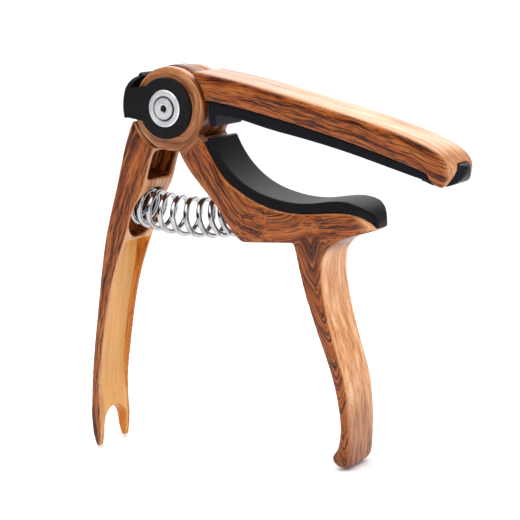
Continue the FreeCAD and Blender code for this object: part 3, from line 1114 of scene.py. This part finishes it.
# ---- coil ----------------------------------------------------------------------------------------
@dataclass
class Coil(Assembly):
    """Compression coil on a bowed middle line, wound by a Geometry Nodes tree."""

    finish: Plating
    left: Point = (-16.3, -22.0)
    middle: Point = (0.5, -25.7)
    right: Point = (15.6, -24.9)
    outside: float = 9.8
    wire: float = 1.3
    turns: float = 10.5
    closed: float = 0.30      # how much closer the end turns lie
    end_gap: float = 0.8
    per_turn: int = 32        # points of the middle line in a turn
    sides: int = 16           # of the wire's section
    overrun: float = 0.10     # share of the length that the bend runs on past each end
    size_names: ClassVar[tuple[str, ...]] = (
        "Bow X", "Bow Y", "Bow Z", "Bow Radius", "Start", "Sweep", "Turns", "Coil Radius",
        "Wire Radius", "Closed")
    winding: ClassVar[tuple[tuple[str | float, ...], ...]] = (   # result, operation, operands
        ("last", "SUBTRACT", "Points", 1.0),
        ("share", "DIVIDE", "index", "last"),
        ("turned", "MULTIPLY", "share", 2 * math.pi),
        ("wave", "SINE", "turned"),
        ("ease", "DIVIDE", "Closed", 2 * math.pi),
        ("shift", "MULTIPLY", "wave", "ease"),
        ("eased", "SUBTRACT", "share", "shift"),
        ("swept", "MULTIPLY", "eased", "Sweep"),
        ("angle", "ADD", "Start", "swept"),
        ("phase", "MULTIPLY", "turned", "Turns"),
        ("rise", "COSINE", "phase"),
        ("side", "SINE", "phase"),
        ("out", "MULTIPLY", "rise", "Coil Radius"),
        ("reach", "ADD", "Bow Radius", "out"),
        ("cosine", "COSINE", "angle"),
        ("sine", "SINE", "angle"),
        ("east", "MULTIPLY", "reach", "cosine"),
        ("north", "MULTIPLY", "reach", "sine"),
        ("depth", "MULTIPLY", "side", "Coil Radius"),
        ("x", "ADD", "Bow X", "east"),
        ("y", "ADD", "Bow Y", "depth"),
        ("z", "ADD", "Bow Z", "north"),
    )

    def bow(self) -> tuple[Point, float, float, float]:
        """The bowed middle line, a circle through three points.

        Returns:
            Its centre and radius, and the angles where the wire starts and ends.
        """
        (x1, z1), (x2, z2), (x3, z3) = self.left, self.middle, self.right
        d = 2 * (x1 * (z2 - z3) + x2 * (z3 - z1) + x3 * (z1 - z2))
        s1, s2, s3 = x1 * x1 + z1 * z1, x2 * x2 + z2 * z2, x3 * x3 + z3 * z3
        cx = (s1 * (z2 - z3) + s2 * (z3 - z1) + s3 * (z1 - z2)) / d
        cz = (s1 * (x3 - x2) + s2 * (x1 - x3) + s3 * (x2 - x1)) / d
        radius = math.hypot(x1 - cx, z1 - cz)
        start = math.atan2(z1 - cz, x1 - cx)
        end = math.atan2(z3 - cz, x3 - cx)
        inset = self.end_gap / radius
        return (cx, cz), radius, start + inset, end - inset

    def tree(self, material: Material) -> Tree:
        """Geometry Nodes tree that winds the wire, with named inputs for its sizes.

        Args:
            material: The wire's material.

        Returns:
            The tree.
        """
        tree = bpy.data.node_groups.new("wound_coil", "GeometryNodeTree")
        face = tree.interface
        for name in self.size_names:
            face.new_socket(name, in_out="INPUT", socket_type="NodeSocketFloat")
        face.new_socket("Points", in_out="INPUT", socket_type="NodeSocketInt")
        face.new_socket("Geometry", in_out="OUTPUT", socket_type="NodeSocketGeometry")
        given = add_node(tree, "NodeGroupInput").outputs

        line = add_node(tree, "GeometryNodeMeshLine", links={"Count": given["Points"]})
        path = add_node(tree, "GeometryNodeMeshToCurve", links={"Mesh": line.outputs[0]})
        known = {name: given[name] for name in (*self.size_names, "Points")}
        known["index"] = add_node(tree, "GeometryNodeInputIndex").outputs[0]
        found = worked_out(tree, known, self.winding)
        spot = add_node(tree, "ShaderNodeCombineXYZ",
                        links={axis: found[name] for axis, name in enumerate("xyz")})
        wound = add_node(tree, "GeometryNodeSetPosition",
                         links={"Geometry": path.outputs[0], "Position": spot.outputs[0]})
        ring = add_node(tree, "GeometryNodeCurvePrimitiveCircle", values={"Resolution": self.sides},
                        links={"Radius": given["Wire Radius"]})
        tube = add_node(tree, "GeometryNodeCurveToMesh", values={"Fill Caps": True},
                        links={"Curve": wound.outputs[0], "Profile Curve": ring.outputs["Curve"]})
        soft = add_node(tree, "GeometryNodeSetShadeSmooth", links={"Geometry": tube.outputs[0]})
        real = add_node(tree, "GeometryNodeRealizeInstances", links={0: soft.outputs[0]})
        dressed = add_node(tree, "GeometryNodeSetMaterial", values={"Material": material},
                           links={"Geometry": real.outputs[0]})
        add_node(tree, "NodeGroupOutput", links={0: dressed.outputs[0]})
        return tree

    def build(self) -> list[Piece]:
        """Winds the coil, and lets it bend between the two castings.

        Returns:
            The coil.
        """
        (cx, cz), radius, start, end = self.bow()
        centre = CAPO.at(cx, cz)
        material = self.finish.make()
        tree = self.tree(material)
        obj = bpy.data.objects.new("coil_spring", bpy.data.meshes.new("coil_spring"))
        bpy.context.scene.collection.objects.link(obj)
        winder = obj.modifiers.new("winder", "NODES")
        winder.node_group = tree
        sizes = {"Bow X": centre.x, "Bow Y": 0.0, "Bow Z": centre.z, "Bow Radius": radius * MM,
                 "Start": start, "Sweep": end - start, "Turns": self.turns,
                 "Coil Radius": (self.outside - self.wire) / 2 * MM,
                 "Wire Radius": self.wire / 2 * MM, "Closed": self.closed,
                 "Points": int(self.turns * self.per_turn)}
        for item in tree.interface.items_tree:
            if item.in_out == "INPUT":
                winder[item.identifier] = sizes[item.name]
        finished(obj)
        bm = bmesh.new()
        bm.from_mesh(obj.data)
        bmesh.ops.recalc_face_normals(bm, faces=bm.faces)
        bm.to_mesh(obj.data)
        bm.free()
        wear(obj, material)
        run = CAPO.at(*self.right) - CAPO.at(*self.left)
        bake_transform(obj, "lever", "frame", start=CAPO.at(*self.left) - run * self.overrun,
                 end=CAPO.at(*self.right) + run * self.overrun)
        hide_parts("spring")
        return [obj]


# ---- pivot ---------------------------------------------------------------------------------------
@dataclass
class PivotHardware(Assembly):
    """The pin's satin flange, the screw in it, the nut, the bush and the washers."""

    nodes: dict
    edge: float = 0.28
    screw_edge: float = 0.18
    proud: float = 0.2        # past the castings' sides, where a piece's edges are seen
    gap_shade_offset: float = 0.1   # from the screw's rim to the middle of the line of painted shade
    socket_radius: float = 0.9

    def build(self) -> list[Piece]:
        """Rounds and dresses each metal piece, and dresses the hidden ones.

        Returns:
            The pin, the nut and the screw.
        """
        low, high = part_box("pivot_screw")
        seat = (high[2] - low[2]) / 2 / MM
        nickel = Plating("satin_nickel_plate", Metal.NICKEL, "#DAD9DE", "#F6F6F8", 0.32,
                         gap_shade_mm=seat + self.gap_shade_offset)
        steel = Plating("bright_screw_steel", Metal.STEEL, "#DCDCE0", "#F4F4F6", 0.22, mark_mm=0.35,
                        gap_shade_mm=seat, socket_mm=self.socket_radius)
        outer = CAPO.half_width + self.proud
        made = []
        for node, finish, edge in (("pivot_barrel", nickel, self.edge),
                                   ("pivot_nut", nickel, self.edge),
                                   ("pivot_screw", steel, self.screw_edge)):
            bm = merged(self.nodes[node])
            weigh_edges(bm, lambda place, e=edge: e if abs(place[1]) > outer else 0.0, edge)
            obj = rounded(f"{node}_metal", bm, edge)
            shade(obj)
            wear(obj, finish.make())
            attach(obj, "frame")
            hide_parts(node)
            made.append(obj)
        brass = Plating("turned_brass", Metal.BRASS, "#B98C40", "#D2A655", 0.3).make()
        washer = PlainWasher().make()
        for node, material in (("pivot_bush", brass), ("near_washer", washer),
                               ("far_washer", washer)):
            for place in self.nodes[node].material_slots:
                place.material = material
        return made


# ---- studio --------------------------------------------------------------------------------------
@dataclass(frozen=True)
class SoftBox:
    """A rectangular soft box, turned to the middle of the capo; sizes in millimetres."""

    name: str
    spot: tuple[float, float, float]
    size: tuple[float, float]
    watts: float
    target: tuple[float, float, float] = (0.0, 0.0, 45.0)

    def build(self) -> None:
        """Makes the light."""
        data = bpy.data.lights.new(self.name, "AREA")
        data.shape = "RECTANGLE"
        data.size, data.size_y = self.size[0] * MM, self.size[1] * MM
        data.energy = self.watts
        lamp = bpy.data.objects.new(self.name, data)
        lamp.location = Vector(self.spot) * MM
        way = Vector(self.target) - Vector(self.spot)
        lamp.rotation_euler = way.to_track_quat("-Z", "Y").to_euler()
        bpy.context.scene.collection.objects.link(lamp)


@dataclass
class Studio:
    """Pale floor, soft boxes and the camera."""

    eye: tuple[float, float, float] = (193.87, -300.52, 101.91)
    azimuth_deg: float = 33.108
    elevation_deg: float = 8.835
    roll_deg: float = -4.532
    sensor: float = 36.0
    focal: float = 3.0769230769     # in widths of the sensor
    boxes: tuple[SoftBox, ...] = (
        SoftBox("side_box", (420.0, -60.0, 230.0), (320.0, 260.0), 0.65),
        SoftBox("top_box", (20.0, -40.0, 430.0), (380.0, 380.0), 0.5),
        SoftBox("front_box", (40.0, -300.0, 420.0), (240.0, 240.0), 0.3),
        SoftBox("back_box", (-120.0, 360.0, 260.0), (300.0, 200.0), 0.3),
    )
    floor_radius: float = 3000.0
    floor_drop: float = 0.2   # below the feet, so that the two never share a plane
    white: str = "#FFFFFF"
    viewer: tuple[float, float, float] = (0.546, -0.838, 0.0)     # from the capo, level
    walls_fade: Span = (0.30, 0.62)     # heights over which the dark walls end
    strength: float = 1.45

    def build(self) -> None:
        """Makes the floor, the world, the lights and the camera."""
        self.floor()
        self.world()
        for box in self.boxes:
            box.build()
        self.camera()

    def floor(self) -> None:
        """A wide pale floor just under the feet."""
        bm = bmesh.new()
        bmesh.ops.create_circle(bm, cap_ends=True, segments=64, radius=self.floor_radius * MM)
        floor = as_object("floor", bm)
        floor.location = (0.0, 0.0, -self.floor_drop * MM)
        material, tree, shader = new_material("pale_studio_floor")
        clouded(tree, shader, 250.0, 2.0, ((0.3, "#FAFAFA"), (0.7, "#FCFCFC")))
        shader.inputs["Roughness"].default_value = 0.9
        shader.inputs["Specular IOR Level"].default_value = 0.1
        wear(floor, material)

    def world(self) -> None:
        """Bright near the horizon and darker above, so that plated metal has something to mirror.

        Dark walls stand on the viewer's side, and white shows behind the capo and overhead.
        """
        world = bpy.data.worlds.new("studio")
        bpy.context.scene.world = world
        world.use_nodes = True
        tree = world.node_tree
        tree.nodes.clear()
        way = add_node(tree, "ShaderNodeTexCoord").outputs["Generated"]
        height = add_node(tree, "ShaderNodeSeparateXYZ", links={0: way}).outputs["Z"]
        sky = add_node(tree, "ShaderNodeValToRGB", links={0: height},
                       stops=((0.0, self.white), (0.14, self.white), (0.26, "#808086"),
                              (0.42, "#909096"), (0.6, self.white))).outputs[0]
        front = add_node(tree, "ShaderNodeVectorMath", {"operation": "DOT_PRODUCT"},
                         {1: self.viewer}, {0: way}).outputs["Value"]
        turn = add_node(tree, "ShaderNodeMapRange", values={"From Min": -1.0, "From Max": 1.0},
                        links={"Value": front}).outputs[0]
        walls = add_node(tree, "ShaderNodeValToRGB", links={0: turn},
                         stops=((0.20, self.white), (0.33, "#3C3C40"), (0.60, "#17171A"),
                                (0.90, "#17171A"), (0.95, "#F4F4F6"))).outputs[0]
        above = add_node(tree, "ShaderNodeMapRange",
                         values=dict(zip(("From Min", "From Max"), self.walls_fade)),
                         links={"Value": height}).outputs[0]
        sides = add_node(tree, "ShaderNodeMixRGB", values={2: linear(self.white)},
                         links={0: above, 1: walls}).outputs[0]
        lit = add_node(tree, "ShaderNodeMixRGB", {"blend_type": "MULTIPLY"}, {0: 1.0},
                       {1: sky, 2: sides}).outputs[0]
        back = add_node(tree, "ShaderNodeBackground", values={"Strength": self.strength},
                        links={"Color": lit})
        add_node(tree, "ShaderNodeOutputWorld", links={"Surface": back.outputs[0]})

    def camera(self) -> None:
        """The camera, at its own angle with its slight roll."""
        a, e, r = (math.radians(v) for v in (self.azimuth_deg, self.elevation_deg, self.roll_deg))
        back = Vector((math.sin(a) * math.cos(e), -math.cos(a) * math.cos(e), math.sin(e)))
        right = Vector((math.cos(a), math.sin(a), 0.0))
        up = back.cross(right)
        turned_right = right * math.cos(r) + up * math.sin(r)
        turned_up = up * math.cos(r) - right * math.sin(r)
        data = bpy.data.cameras.new("camera")
        data.sensor_width = self.sensor
        data.lens = self.focal * self.sensor
        data.clip_start, data.clip_end = 0.01, 20.0
        camera = bpy.data.objects.new("camera", data)
        axes = Matrix((turned_right, turned_up, back)).transposed()
        camera.matrix_world = Matrix.Translation(Vector(self.eye) * MM) @ axes.to_4x4()
        bpy.context.scene.collection.objects.link(camera)
        bpy.context.scene.camera = camera


def main() -> None:
    """Builds every sub-assembly in order and reports its objects."""
    logging.basicConfig(level=logging.INFO, format="%(name)s %(message)s")
    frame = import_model()
    nodes = frame["nodes"]
    bpy.context.scene.view_settings.view_transform = "Standard"
    pad = Rubber("bar_pad_rubber", "#0B0D13", "#12151D", 0.42)
    cradle = Rubber("cradle_pad_rubber", "#07070A", "#0C0C10", 0.44)
    clip = Rubber("pick_holder_rubber", "#121214", "#18181A", 0.48)
    chrome = Plating("chrome_plated_wire", Metal.CHROME, "#9C9CA0", "#C0C0C3", 0.07)
    assemblies = (
        FrameCasting(nodes, WoodPrint("printed_wood_frame")),
        LeverCasting(nodes, WoodPrint("printed_wood_lever")),
        RubberPiece(nodes, "upper_pad", "lever", pad, 0.45, is_pad=True),
        RubberPiece(nodes, "cradle_pad", "frame", cradle, 0.5, is_pad=True),
        RubberPiece(nodes, "pick_holder", "frame", clip, 0.45),
        Coil(chrome),
        PivotHardware(nodes),
    )
    for assembly in assemblies:
        for obj in assembly.build():
            LOG.info("%s: %d faces", obj.name, len(obj.data.polygons))
    Studio().build()


if __name__ == "__main__":
    main()
